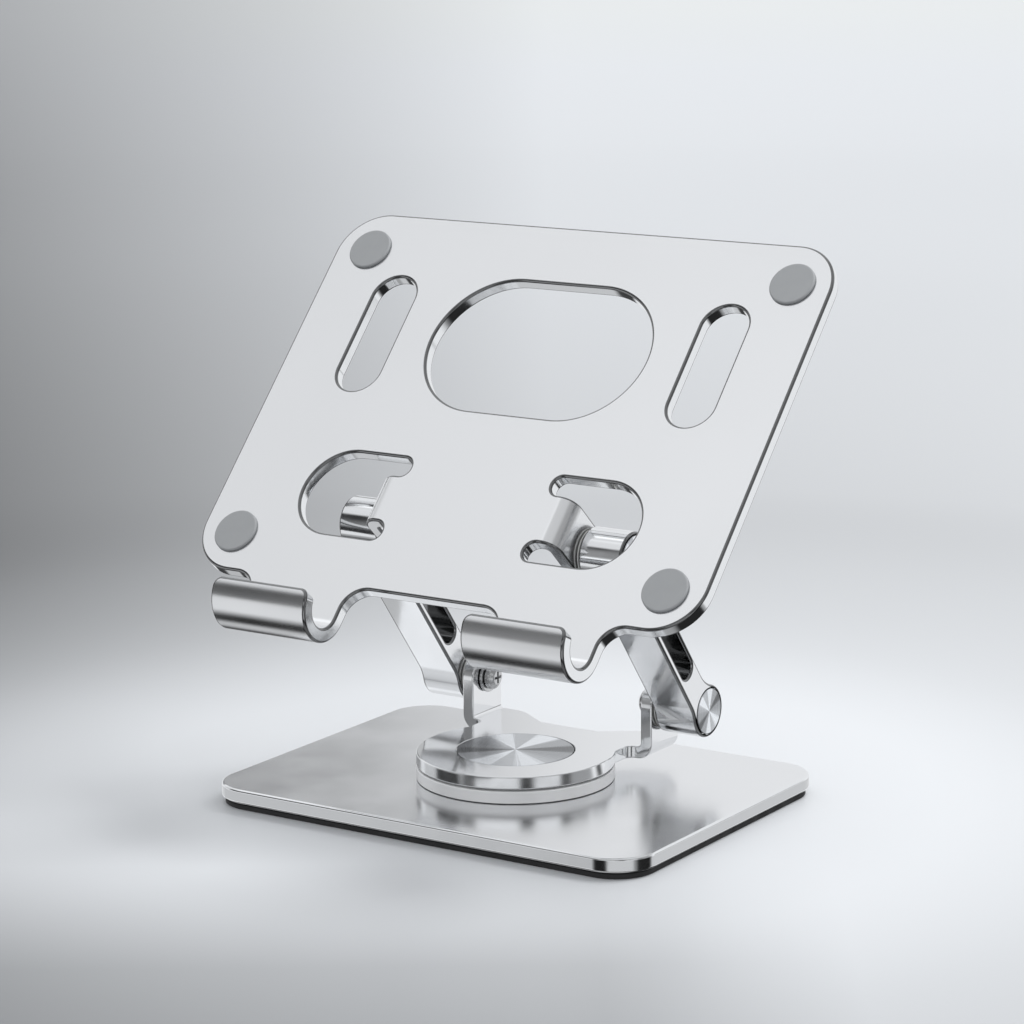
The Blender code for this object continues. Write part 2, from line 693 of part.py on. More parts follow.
def build_tray(tray_axis):
    radius = STADIUM_RADIUS - 0.05 * MM
    stadium = box_corners(STADIUM_HALF_LENGTH, STADIUM_RADIUS, radius, 0, STADIUM_CENTRE)
    holes = [rounded_outline(stadium)]
    for side in (-1, 1):
        radius = SLOT_HALF_WIDTH - 0.05 * MM
        middle = (side * SLOT_X, STADIUM_CENTRE)
        slot = box_corners(SLOT_HALF_WIDTH, SLOT_HALF_LENGTH, radius, *middle)
        holes.append(rounded_outline(slot))
        holes.append(tab_cutout(side))
    bm = sheet(tray_outline(), holes, TRAY_SHEET, SHEET_CHAMFER)
    cut_bend_lines(bm)
    for vert in bm.verts:
        if in_tab(vert.co.x, vert.co.y):
            vert.co = bend_tab(vert.co)
        elif vert.co.y < HOOK_START:
            vert.co = bend_hook(vert.co)
    for vert in bm.verts:
        x, u, n = vert.co
        vert.co = (x, -n - AXIS_BEHIND_FRONT, u)
    tray = add_object("tray", bm, "satin_aluminium", tray_axis)
    reach = TAB_OUTER_FACE + 1 * MM
    bore = turned(((0, -reach), (BOLT_HOLE, -reach), (BOLT_HOLE, reach), (0, reach)), steps=24)
    cut(tray, add_object("tab_bore", bore, "steel", tray_axis, (0, 0, 0), (0, math.pi / 2, 0)))


def build_tray_pads(tray_axis):
    front = -AXIS_BEHIND_FRONT - PAD_GLUE_GAP
    for side, side_name in ((-1, "left"), (1, "right")):
        for level, level_name in ((-1, "lower"), (1, "upper")):
            spot = (side * PAD_X, front, PAD_MIDDLE + level * PAD_SPAN)
            pad = disc_with_bevel(PAD_RADIUS, PAD_HEIGHT, 0.4 * MM)
            name = f"tray_pad_{level_name}_{side_name}"
            add_object(name, pad, "grey_silicone", tray_axis, spot, (math.pi / 2, 0, 0))


def main():
    clear_scene()
    make_materials()
    swivel = add_axis("swivel_axis", None, (0, 0, 0))
    arm_axis = add_axis("arm_axis", swivel, LOWER_AXIS, ARM_LEAN)
    tray_axis = add_axis("tray_axis", arm_axis, (0, 0, ARM_LENGTH), -TRAY_LEAN - ARM_LEAN)
    base = build_base()
    build_turntable(base)
    build_yoke(swivel, arm_axis)
    build_pivot(swivel)
    for side, name in ((-1, "left"), (1, "right")):
        build_arm(name, side, arm_axis, tray_axis)
        build_hinge("lower", name, side, arm_axis, YOKE_SHEET)
        build_hinge("upper", name, side, tray_axis, TRAY_SHEET)
    build_tray(tray_axis)
    build_tray_pads(tray_axis)
    # Booleans run on evaluated transforms, so the parents are brought up to date once
    bpy.context.view_layer.update()


main()
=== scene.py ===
"""Looks of the tablet stand: satin tray and arms, polished yoke and base plate, in a plain pale studio.

Lengths are in metres. X runs to the right, Y to the rear and Z up, as in the frame.
"""

import json
import math

import bmesh
import bpy
from mathutils import Matrix, Vector


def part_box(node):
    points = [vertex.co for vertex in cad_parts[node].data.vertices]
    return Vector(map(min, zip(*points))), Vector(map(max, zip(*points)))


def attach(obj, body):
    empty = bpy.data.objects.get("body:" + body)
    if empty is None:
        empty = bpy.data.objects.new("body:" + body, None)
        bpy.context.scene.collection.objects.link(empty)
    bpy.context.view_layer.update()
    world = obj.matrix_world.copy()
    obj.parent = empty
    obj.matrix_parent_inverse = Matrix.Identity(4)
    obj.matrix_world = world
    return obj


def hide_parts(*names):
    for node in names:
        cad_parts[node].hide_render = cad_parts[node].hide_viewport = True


MM = 0.001
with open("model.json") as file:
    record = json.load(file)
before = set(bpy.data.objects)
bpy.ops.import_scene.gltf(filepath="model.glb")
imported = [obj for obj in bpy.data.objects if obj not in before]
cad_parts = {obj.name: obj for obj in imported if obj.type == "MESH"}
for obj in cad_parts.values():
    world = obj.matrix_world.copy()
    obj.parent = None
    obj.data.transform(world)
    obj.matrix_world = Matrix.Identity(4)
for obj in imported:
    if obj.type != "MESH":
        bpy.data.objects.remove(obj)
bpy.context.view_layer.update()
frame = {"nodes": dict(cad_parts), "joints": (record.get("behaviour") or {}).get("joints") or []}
JOINT = {joint["name"]: Vector(joint["pos_m"]) for joint in frame["joints"]}

# How finely round shapes are drawn
ARC_STEP = math.radians(3)
RIM_STEPS = 4
FOLD_STEP = math.radians(5)
CIRCLE_STEPS = 120
HARDWARE_STEPS = 72

# Sheets, and the rounding of their edges
EDGE = 0.7 * MM
SOFT_EDGE = 0.4 * MM
FINE_EDGE = 0.15 * MM
BEND_INSIDE = 1 * MM
CLEARANCE = 0.3 * MM
SCREW_RADIUS = 2 * MM
SCREW_HEAD_HEIGHT = 2.3 * MM
BOLT_HOLE = SCREW_RADIUS + CLEARANCE

# Tray: u runs up the sheet from the upper hinge axis
TRAY_LEAN = math.radians(43)
TRAY_WIDTH = 160 * MM
TRAY_SHEET = 4 * MM
TRAY_CORNER = 14 * MM
TRAY_TOP = 91.7 * MM
TRAY_BOTTOM = -28.2 * MM
AXIS_BEHIND_FRONT = 16 * MM
STADIUM_CENTRE = 51.5 * MM
STADIUM_RADIUS = 21.5 * MM
STADIUM_HALF_LENGTH = 34.5 * MM
SLOT_X = 53.4 * MM
SLOT_HALF_WIDTH = 6.9 * MM
SLOT_HALF_LENGTH = 19.3 * MM
CUTOUT_HALF_HEIGHT = 13.1 * MM
CUTOUT_OUTER_X = 53.2 * MM
RELIEF_INNER_X = 22.7 * MM
RELIEF_RADIUS = 2.8 * MM
TAB_OUTER_FACE = 31.2 * MM
BOSS_RADIUS = 7.3 * MM
HOOK_X = 40 * MM
HOOK_HALF_WIDTH = 15.5 * MM
HOOK_FILLET = 6.5 * MM
HOOK_START = -38 * MM
HOOK_INSIDE = 5.6 * MM
HOOK_CORNER = 2.5 * MM

# Yoke and base
YOKE_SHEET = 3.5 * MM
NECK_X = 24.2 * MM
PIVOT_RADIUS = 3 * MM
PIVOT_HEAD_RADIUS = 7 * MM
CAP_POCKET_DEPTH = 1.2 * MM
HEAD_POCKET_DEPTH = 2.6 * MM
NUT_POCKET_DEPTH = 2.6 * MM
RING_INNER = 10 * MM
RING_SCREW_CIRCLE = 19 * MM
RING_SCREW_HOLE = 1.8 * MM
RING_SCREW_HEAD_HOLE = 3.1 * MM
RING_SCREW_SHELF = 1.9 * MM
BASE_CORNER = 12 * MM
PAD_INSET = 0.9 * MM

# Arms
ARM_FRONT = 5.6 * MM
ARM_REAR = 3.6 * MM
ARM_BLEND = 12 * MM
ARM_SLOT_HALF_WIDTH = 2.9 * MM
ARM_SLOT_OFFSET = -0.6 * MM
ARM_SLOT_END = 16 * MM
NUT_ROOM = 4.7 * MM
BORE_FLOOR = 4 * MM
CAP_SEAT_DEPTH = 1.2 * MM

# Sunburst faces: painted highlights, the brightness of the rays through half a turn, from the X axis on
SUNBURST_PAINTED_HIGHLIGHTS = (
    (0.0, 0.42), (0.10, 0.40), (0.15, 0.16), (0.22, 0.16), (0.27, 0.45), (0.38, 0.45), (0.42, 0.97),
    (0.54, 0.97), (0.58, 0.58), (0.68, 0.62), (0.71, 0.97), (0.82, 0.97), (0.87, 0.58), (1.0, 0.42),
)

UP = Vector((0, 0, 1))

# Material slots of a sheet: its faces, its cut walls, their rounded rims (painted dark on the satin pieces,
# a painted reflection), and a wall in deep shade (painted shade)
FACE, WALL, RIM, SHADED = range(4)

# Camera: its direction from the stand, counted from the front towards the right, and what it looks at
CAMERA_AZIMUTH = math.radians(33.47)
CAMERA_ELEVATION = math.radians(12)
CAMERA_ROLL = math.radians(-0.49)
CAMERA_DISTANCE = 0.9532
CAMERA_TARGET = Vector((-0.0005, 0, 0.0799))
CAMERA_LENS = 123.9

# Floor: painted pool of light, pairs of distance from the stand and brightness, for the painted lit side and
# for the painted dim side
FLOOR_RADIUS = 8
FLOOR_LIT = (
    (0, 0.66), (0.12, 0.65), (0.18, 0.54), (0.28, 0.46), (0.42, 0.46), (1.0, 0.70), (1.7, 0.90), (3.2, 1.0),
)
FLOOR_DIM = (
    (0, 0.62), (0.12, 0.62), (0.20, 0.35), (0.32, 0.17), (0.45, 0.15), (1.0, 0.23), (1.7, 0.29), (3.2, 0.38),
)
# Towards the lit side, at the camera's right, and towards the camera
FLOOR_TO_LIGHT = (math.cos(CAMERA_AZIMUTH), math.sin(CAMERA_AZIMUTH), 0)
FLOOR_TO_FRONT = (math.sin(CAMERA_AZIMUTH), -math.cos(CAMERA_AZIMUTH), 0)
# The change from dim to lit starts this wide and widens by this much for each metre
POOL_BLEND = 0.17
POOL_BLEND_GROWTH = 0.22
# Painted shadow before the stand: how far it darkens the floor
FLOOR_SHADE = 0.66

# What the metal mirrors: dark, with soft-edged panels in it. Each panel: azimuth from the front towards the
# right, in degrees, from and to, then the sine of its elevation, from and to, then brightness
MIRRORED_DARK = 0.36
PANEL_SOFT_AZIMUTH = 4.0
PANEL_SOFT_ELEVATION = 0.03
MIRRORED_PANELS = (
    # Overhead
    (-185, 185, 0.74, 1.10, 0.62),
    # Left and rear: one large pale wall, with a gap that shades the near half of the base
    (-185, -95, -0.48, 0.97, 0.86),
    (-145, -110, 0.18, 0.36, 0.22),
    (130, 185, -0.46, 0.62, 0.88),
    (138, 148, -0.13, 0.08, 0.12),
    # Front left: softbox overhead, dark gap under it, pale table
    (-95, -34, 0.60, 0.80, 0.78),
    (-95, -34, 0.79, 0.96, 0.92),
    (-95, -69, 0.60, 0.96, 0.76),
    (-114, -84, 0.78, 0.90, 1.20),
    (-95, -72, 0.08, 0.56, 0.62),
    (-70, -35, 0.06, 0.56, 0.04),
    (-95, -30, -0.58, 0.02, 0.82),
    # Front right: dim, with bright strips between black ones low down
    (-25, 6, -0.60, -0.12, 0.02),
    (10, 76, -0.45, -0.10, 0.88),
    (-30, 50, 0.06, 0.50, 0.14),
    (-14, 38, 0.20, 0.38, 0.95),
    (40, 52, 0.14, 0.40, 0.02),
    (56, 86, 0.20, 0.38, 0.95),
    (88, 100, 0.14, 0.40, 0.02),
    (85, 126, -0.60, -0.18, 0.02),
    # Below
    (95, 185, -0.96, -0.52, 0.02),
    (6, 80, -0.62, -0.48, 0.03),
    (-84, -46, -0.90, -0.67, 0.01),
    (-124, -92, -0.94, -0.74, 0.60),
    (-138, -112, -0.70, -0.42, 0.05),
)


# Paths: lists of (point, normal) pairs, the normal to the right of the way the path runs


def rotated(vector, angle):
    cosine, sine = math.cos(angle), math.sin(angle)
    return Vector((vector.x * cosine - vector.y * sine, vector.x * sine + vector.y * cosine))


def right_of(way):
    return Vector((way.y, -way.x)).normalized()


def rounded(corners, closed=True):
    """Path through corners (a, b, radius), each one rounded by an arc."""
    spots = [Vector(corner[:2]) for corner in corners]
    path = []
    for i, (_, _, radius) in enumerate(corners):
        if not closed and i in (0, len(corners) - 1):
            way = spots[1] - spots[0] if i == 0 else spots[-1] - spots[-2]
            path.append((spots[i], right_of(way)))
            continue
        arriving = (spots[i] - spots[i - 1]).normalized()
        leaving = (spots[(i + 1) % len(spots)] - spots[i]).normalized()
        if radius == 0:
            path.append((spots[i], right_of(arriving + leaving)))
            continue
        turn = math.atan2(arriving.cross(leaving), arriving.dot(leaving))
        start = spots[i] - arriving * radius * math.tan(abs(turn) / 2)
        outward = right_of(arriving)
        centre = start - outward * math.copysign(radius, turn)
        steps = max(2, math.ceil(abs(turn) / ARC_STEP))
        for k in range(steps + 1):
            angle = turn * k / steps
            path.append((centre + rotated(start - centre, angle), rotated(outward, angle)))
    return without_repeats(path)


def without_repeats(path):
    return [pair for i, pair in enumerate(path) if (pair[0] - path[i - 1][0]).length > 1e-6 or not i]


def circle(radius, a=0.0, b=0.0, steps=CIRCLE_STEPS):
    path = []
    for k in range(steps):
        normal = rotated(Vector((1, 0)), math.tau * k / steps)
        path.append((Vector((a, b)) + normal * radius, normal))
    return path


def box_corners(half_a, half_b, radius, a=0.0, b=0.0):
    signs = ((-1, -1), (1, -1), (1, 1), (-1, 1))
    return [(a + i * half_a, b + j * half_b, radius) for i, j in signs]


def mirrored(path):
    """The path on the other side of the second axis, still with outward normals."""
    return [(Vector((-p.x, p.y)), Vector((-n.x, n.y))) for p, n in reversed(path)]


# Rings: lists of (position, normal) in space, one list for each level of an edge or bore


def rim(path, thickness, edge, side=1):
    """A sheet's edge from its front face at 0 to its back, rounded over at both; side is -1 for a hole."""
    quarter = [math.pi / 2 * k / RIM_STEPS for k in range(RIM_STEPS + 1)]
    rings = []
    for face, turns in ((1, quarter), (-1, quarter[::-1])):
        for turn in turns:
            inset = edge * (1 - math.sin(turn))
            depth = edge * (1 - math.cos(turn))
            level = -depth if face > 0 else depth - thickness
            ring = []
            for point, normal in path:
                away = normal * side
                spot = point - away * inset
                leaning = Vector((*(away * math.sin(turn)), face * math.cos(turn)))
                ring.append((Vector((*spot, level)), leaning))
            rings.append(ring)
    return rings


def bore(profile, a=0.0, b=0.0, steps=HARDWARE_STEPS):
    """A turned hole from a profile of (radius, level, fillet), from the front face down to the back."""
    rings = []
    for point, normal in rounded(profile, closed=False):
        ring = []
        for spot, outward in circle(point.x, a, b, steps):
            ring.append((Vector((*spot, point.y)), Vector((*(outward * normal.x), normal.y))))
        rings.append(ring)
    return rings


def drilled(radius, thickness, edge=FINE_EDGE):
    """Profile of a plain round hole."""
    return [
        (radius + 2 * edge, 0, 0),
        (radius, 0, edge),
        (radius, -thickness, edge),
        (radius + 2 * edge, -thickness, 0),
    ]


# Meshes: every vertex keeps the normal of the surface it stands for


def new_mesh():
    bm = bmesh.new()
    return bm, bm.verts.layers.float_vector.new("surface_normal")


def add_rings(bm, layer, rings, wall_look=WALL):
    """Joins the rings into a wall with rounded rims and returns its first and last ring of vertices."""
    rows = []
    for ring in rings:
        row = []
        for position, normal in ring:
            vert = bm.verts.new(position)
            vert[layer] = normal
            row.append(vert)
        rows.append(row)
    for upper, lower in zip(rows, rows[1:]):
        straight = (upper[0][layer] - lower[0][layer]).length < 0.01
        for i in range(len(upper)):
            face = bm.faces.new((upper[i - 1], upper[i], lower[i], lower[i - 1]))
            face.material_index = wall_look if straight else RIM
    return rows[0], rows[-1]


def sheet(walls, shaded_wall=None):
    """Flat sheet between its walls: the rim of the outline, the rims of the holes, and the bores."""
    bm, layer = new_mesh()
    front, back = [], []
    for number, rings in enumerate(walls):
        first, last = add_rings(bm, layer, rings, SHADED if number == shaded_wall else WALL)
        front += [bm.edges.get((first[i - 1], first[i])) for i in range(len(first))]
        back += [bm.edges.get((last[i - 1], last[i])) for i in range(len(last))]
    for edges in (front, back):
        bmesh.ops.triangle_fill(bm, use_beauty=True, edges=edges)
    return bm


def turned(profile, steps=CIRCLE_STEPS, closed=False):
    """Body turned about Z from a profile of (radius, z, fillet), drawn anticlockwise."""
    bm, layer = new_mesh()
    rows = []
    for point, normal in rounded(profile, closed):
        row = []
        for spot, outward in circle(max(point.x, 0), steps=steps if point.x > 1e-7 else 1):
            vert = bm.verts.new((*spot, point.y))
            vert[layer] = Vector((*(outward * normal.x), normal.y)) if point.x > 1e-7 else UP * normal.y
            row.append(vert)
        rows.append(row)
    pairs = list(zip(rows, rows[1:]))
    if closed:
        pairs.append((rows[-1], rows[0]))
    for lower, upper in pairs:
        for k in range(steps):
            corners = [lower[k - 1], lower[k]] if len(lower) > 1 else [lower[0]]
            corners += [upper[k], upper[k - 1]] if len(upper) > 1 else [upper[0]]
            if len(corners) > 2:
                bm.faces.new(corners)
    return bm


def crease(bm, faces, point, normal):
    """Splits faces along a plane, so that a bend can follow it."""
    parts = set(faces)
    for face in faces:
        parts.update(face.edges)
        parts.update(face.verts)
    bmesh.ops.bisect_plane(bm, geom=list(parts), dist=1e-7, plane_co=point, plane_no=normal)


def fold(along, height, centre, neutral, limit):
    """Bends a point of a sheet round a centre above it: where it goes, and how far it has turned."""
    turn = min(along / neutral, limit)
    straight = max(0.0, along - neutral * limit)
    reach = centre - height
    new_along = reach * math.sin(turn) + straight * math.cos(turn)
    new_height = centre - reach * math.cos(turn) + straight * math.sin(turn)
    return new_along, new_height, turn


def bend(bm, way):
    """Moves every vertex and turns its normal the way a bend says."""
    layer = bm.verts.layers.float_vector["surface_normal"]
    for vert in bm.verts:
        vert.co, vert[layer] = way(vert.co.copy(), vert[layer].copy())


def frame_at(x_axis, y_axis, z_axis, origin):
    turn = Matrix((x_axis, y_axis, z_axis)).transposed().to_4x4()
    return Matrix.Translation(origin) @ turn


def moved(bm, matrix):
    """The mesh carried over to another frame."""
    layer = bm.verts.layers.float_vector["surface_normal"]
    turn = matrix.to_3x3()
    for vert in bm.verts:
        vert.co, vert[layer] = matrix @ vert.co, turn @ vert[layer]
    return bm


def add_piece(name, bm, looks, body, nodes, matrix=None):
    """A finished piece: its mesh with the surface's own normals, on its body, in place of its CAD nodes."""
    bmesh.ops.recalc_face_normals(bm, faces=bm.faces)
    layer = bm.verts.layers.float_vector.get("surface_normal")
    normals = [vert[layer].normalized() for vert in bm.verts]
    mesh = bpy.data.meshes.new(name)
    bm.to_mesh(mesh)
    bm.free()
    mesh.attributes.remove(mesh.attributes["surface_normal"])
    mesh.shade_smooth()
    mesh.normals_split_custom_set_from_vertices(normals)
    for look in looks:
        mesh.materials.append(look)
    piece = bpy.data.objects.new(name, mesh)
    bpy.context.scene.collection.objects.link(piece)
    if matrix is not None:
        piece.matrix_world = matrix
    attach(piece, body)
    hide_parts(*nodes)
    return piece


# Materials


class Look:
    """A material with a Principled shader and short ways to add nodes to it."""

    def __init__(self, name, colour, roughness, metallic=1.0):
        self.material = bpy.data.materials.new(name)
        self.material.use_nodes = True
        self.tree = self.material.node_tree
        self.shader = self.tree.nodes["Principled BSDF"]
        self.shader.inputs["Base Color"].default_value = (*colour, 1)
        self.shader.inputs["Roughness"].default_value = roughness
        self.shader.inputs["Metallic"].default_value = metallic
        self.place = self.tree.nodes.new("ShaderNodeTexCoord").outputs["Object"]

    def node(self, kind, inputs=(), **settings):
        made = self.tree.nodes.new(kind)
        for key, value in settings.items():
            setattr(made, key, value)
        for key, value in dict(inputs).items():
            if isinstance(value, bpy.types.NodeSocket):
                self.tree.links.new(value, made.inputs[key])
            elif made.inputs[key].type == "RGBA":
                made.inputs[key].default_value = (*value[:3], 1)
            else:
                made.inputs[key].default_value = value
        return made

    def link(self, source, socket):
        self.tree.links.new(source, self.shader.inputs[socket])

    def noise(self, size, detail=2.0, stretch=(1, 1, 1)):
        """Noise whose features are about this size, longer along the axes with a stretch above 1."""
        scale = tuple(1 / s for s in stretch)
        spot = self.node("ShaderNodeVectorMath", {0: self.place, 1: scale}, operation="MULTIPLY")
        inputs = {"Vector": spot.outputs[0], "Scale": 1 / size, "Detail": detail}
        return self.node("ShaderNodeTexNoise", inputs).outputs["Fac"]

    def between(self, value, low, high, start=0.35, end=0.65):
        """Carries a value's usual spread over to a range."""
        inputs = {"Value": value, "From Min": start, "From Max": end, "To Min": low, "To Max": high}
        return self.node("ShaderNodeMapRange", inputs).outputs["Result"]

    def tinted(self, value, low, high):
        """Colour between two colours by a value from 0 to 1."""
        made = self.node("ShaderNodeMix", {0: value, 6: low, 7: high}, data_type="RGBA")
        return made.outputs[2]

    def bump(self, height, distance):
        return self.node("ShaderNodeBump", {"Height": height, "Distance": distance}).outputs["Normal"]


def satin_aluminium():
    """Fine blasted and anodised face."""
    look = Look("satin_aluminium_face", (0.87, 0.875, 0.885), 0.22)
    cloud = look.noise(45 * MM, detail=3)
    look.link(look.between(cloud, 0.19, 0.25), "Roughness")
    look.link(look.tinted(cloud, (0.86, 0.865, 0.875), (0.90, 0.905, 0.915)), "Base Color")
    grain = look.noise(0.22 * MM, detail=2)
    look.link(look.bump(grain, 0.004 * MM), "Normal")
    return look.material


def cut_aluminium(name, shade):
    """Smooth wall left by the cutter, with faint wear; shade is how much light it gives back."""
    look = Look(name, (shade, shade, shade), 0.09)
    wear = look.noise(6 * MM, detail=4)
    look.link(look.between(wear, 0.07, 0.15), "Roughness")
    low, high = (tuple(shade * change * tint for tint in (0.99, 1.0, 1.01)) for change in (0.96, 1.02))
    look.link(look.tinted(wear, low, high), "Base Color")
    lines = look.noise(0.3 * MM, detail=2)
    look.link(look.bump(lines, 0.0004 * MM), "Normal")
    return look.material


def polished_aluminium(name, low, high):
    """Polished face with a light bloom and hair-fine wiping marks."""
    look = Look(name, (0.87, 0.875, 0.885), (low + high) / 2)
    cloud = look.noise(30 * MM, detail=4)
    look.link(look.between(cloud, low, high), "Roughness")
    look.link(look.tinted(cloud, (0.85, 0.855, 0.865), (0.885, 0.89, 0.90)), "Base Color")
    marks = look.noise(0.3 * MM, detail=3, stretch=(14, 1, 1))
    look.link(look.bump(marks, 0.0012 * MM), "Normal")
    return look.material


def bright_ring():
    """Blasted ring: softer and whiter than the faces around it."""
    look = Look("blasted_ring_face", (0.94, 0.945, 0.95), 0.34, metallic=0.15)
    cloud = look.noise(12 * MM, detail=3)
    look.link(look.between(cloud, 0.30, 0.40), "Roughness")
    look.link(look.tinted(cloud, (0.92, 0.925, 0.935), (0.96, 0.965, 0.97)), "Base Color")
    look.link(look.bump(look.noise(0.2 * MM), 0.004 * MM), "Normal")
    return look.material


def paint_ramp(ramp, stops):
    """Gives a colour ramp its stops, in grey with a touch of blue."""
    ramp.elements[0].position, ramp.elements[1].position = stops[0][0], stops[-1][0]
    for position, _ in stops[1:-1]:
        ramp.elements.new(position)
    for element, (_, level) in zip(ramp.elements, stops):
        element.color = (level * 0.975, level, level * 1.035, 1)


def sunburst_aluminium():
    """Face turned on a lathe: fine rings round the middle, and painted highlight rays in its colour, bright
    and dark wedges where the rings would throw the light.
    """
    look = Look("sunburst_face_painted_highlights", (0.88, 0.885, 0.89), 0.24)
    look.shader.inputs["Anisotropic"].default_value = 0.6
    tangent = look.node("ShaderNodeTangent", direction_type="RADIAL", axis="Z")
    look.link(tangent.outputs["Tangent"], "Tangent")
    flat = look.node("ShaderNodeVectorMath", {0: look.place, 1: (1, 1, 0)}, operation="MULTIPLY").outputs[0]
    radius = look.node("ShaderNodeVectorMath", {0: flat}, operation="LENGTH").outputs["Value"]
    rings = look.node("ShaderNodeTexNoise", {"W": radius, "Scale": 1 / (0.14 * MM)}, noise_dimensions="1D")
    look.link(look.between(rings.outputs["Fac"], 0.18, 0.30), "Roughness")
    look.link(look.bump(rings.outputs["Fac"], 0.002 * MM), "Normal")
    way = look.node("ShaderNodeVectorMath", {0: flat}, operation="NORMALIZE").outputs[0]
    hairs = look.node("ShaderNodeTexNoise", {"Vector": way, "Scale": 9.0, "Detail": 5.0, "Roughness": 0.7})
    x, y, _ = look.node("ShaderNodeSeparateXYZ", {0: way}).outputs
    turn = look.node("ShaderNodeMath", {0: y, 1: x}, operation="ARCTAN2").outputs[0]
    jitter = look.between(hairs.outputs["Fac"], -0.02, 0.02)
    half_turns = look.node("ShaderNodeMath", {0: turn, 1: 1 / math.pi, 2: jitter}, operation="MULTIPLY_ADD")
    share = look.node("ShaderNodeMath", {0: half_turns.outputs[0]}, operation="FRACT").outputs[0]
    # Painted highlights: the bright and dark wedges of the sunburst's reflection, painted into the base
    # colour
    rays = look.node("ShaderNodeValToRGB", {"Fac": share})
    paint_ramp(rays.color_ramp, SUNBURST_PAINTED_HIGHLIGHTS)
    look.link(rays.outputs["Color"], "Base Color")
    return look.material


def steel():
    """Bright zinc-plated steel."""
    look = Look("plated_steel", (0.62, 0.625, 0.63), 0.22)
    cloud = look.noise(1.5 * MM, detail=4)
    look.link(look.between(cloud, 0.16, 0.32), "Roughness")
    look.link(look.tinted(cloud, (0.55, 0.555, 0.565), (0.70, 0.70, 0.70)), "Base Color")
    return look.material


def black_rubber():
    look = Look("black_rubber_skin", (0.018, 0.018, 0.019), 0.75, metallic=0.0)
    cloud = look.noise(4 * MM, detail=4)
    look.link(look.between(cloud, 0.62, 0.85), "Roughness")
    look.link(look.tinted(cloud, (0.012, 0.012, 0.013), (0.028, 0.028, 0.029)), "Base Color")
    look.link(look.bump(look.noise(0.4 * MM, detail=3), 0.02 * MM), "Normal")
    return look.material


def grey_silicone():
    """Matt silicone with a fine moulded grain."""
    look = Look("grey_silicone_skin", (0.34, 0.35, 0.36), 0.55, metallic=0.0)
    cloud = look.noise(3 * MM, detail=4)
    look.link(look.between(cloud, 0.5, 0.66), "Roughness")
    look.link(look.tinted(cloud, (0.32, 0.33, 0.34), (0.365, 0.375, 0.385)), "Base Color")
    look.link(look.bump(look.noise(0.25 * MM, detail=2), 0.012 * MM), "Normal")
    return look.material


def white_nylon():
    look = Look("white_nylon_skin", (0.72, 0.72, 0.70), 0.45, metallic=0.0)
    cloud = look.noise(2 * MM, detail=3)
    look.link(look.between(cloud, 0.4, 0.55), "Roughness")
    look.link(look.tinted(cloud, (0.66, 0.66, 0.64), (0.76, 0.76, 0.74)), "Base Color")
    return look.material


LOOKS = {
    "satin": satin_aluminium(),
    "wall": cut_aluminium("cut_wall", 0.90),
    # Rims of the satin pieces: base colour painted dark, a painted dark reflection along the rounded edges
    "rim": cut_aluminium("cut_rim_painted_dark", 0.24),
    "shaded": cut_aluminium("shaded_wall", 0.20),
    # Sides of the base plate: base colour painted darker, a painted reflection of the shade on the table
    # beside it
    "base_side_painted_shade": cut_aluminium("base_side_painted_shade", 0.62),
    "ring": bright_ring(),
    "mirror": polished_aluminium("polished_aluminium_face", 0.07, 0.15),
    "base": polished_aluminium("polished_base_face", 0.16, 0.24),
    "sunburst": sunburst_aluminium(),
    "steel": steel(),
    "rubber": black_rubber(),
    "silicone": grey_silicone(),
    "nylon": white_nylon(),
}
SATIN = (LOOKS["satin"], LOOKS["wall"], LOOKS["rim"], LOOKS["shaded"])
MIRROR = (LOOKS["mirror"], LOOKS["wall"], LOOKS["wall"])


# Base and turntable


def screw_spots():
    turns = [math.radians(90 + 120 * k) for k in range(3)]
    return [(RING_SCREW_CIRCLE * math.cos(t), RING_SCREW_CIRCLE * math.sin(t)) for t in turns]


def build_base():
    low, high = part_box("base_plate")
    thickness = high.z - low.z
    half_width, half_depth = (high.x - low.x) / 2, (high.y - low.y) / 2
    walls = [rim(rounded(box_corners(half_width, half_depth, BASE_CORNER)), thickness, EDGE)]
    bolt, nut = PIVOT_RADIUS + CLEARANCE, PIVOT_HEAD_RADIUS + CLEARANCE
    shelf = NUT_POCKET_DEPTH - thickness
    walls.append(
        bore(
            [
                (bolt + 2 * FINE_EDGE, 0, 0),
                (bolt, 0, FINE_EDGE),
                (bolt, shelf, FINE_EDGE),
                (nut, shelf, FINE_EDGE),
                (nut, -thickness, FINE_EDGE),
                (nut + 2 * FINE_EDGE, -thickness, 0),
            ]
        )
    )
    shaft, head = RING_SCREW_HOLE, RING_SCREW_HEAD_HOLE
    step = RING_SCREW_SHELF - thickness
    for x, y in screw_spots():
        profile = [
            (shaft + 2 * FINE_EDGE, 0, 0),
            (shaft, 0, FINE_EDGE),
            (shaft, step, FINE_EDGE),
            (head, step, FINE_EDGE),
            (head, -thickness, FINE_EDGE),
            (head + 2 * FINE_EDGE, -thickness, 0),
        ]
        walls.append(bore(profile, x, y, steps=36))
    # The base plate's sides take the look with painted shade
    looks = (LOOKS["base"], LOOKS["base_side_painted_shade"], LOOKS["wall"])
    place = Matrix.Translation((0, 0, high.z))
    add_piece("base_plate_metal", sheet(walls), looks, "base", ["base_plate"], place)


def build_foot_pad():
    low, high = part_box("foot_pad")
    half_width, half_depth = (high.x - low.x) / 2, (high.y - low.y) / 2
    outline = rounded(box_corners(half_width, half_depth, BASE_CORNER - PAD_INSET))
    bm = sheet([rim(outline, high.z - low.z, 0.3 * MM)])
    looks = (LOOKS["rubber"],) * 3
    place = Matrix.Translation((0, 0, high.z))
    add_piece("foot_pad_rubber", bm, looks, "base", ["foot_pad"], place)


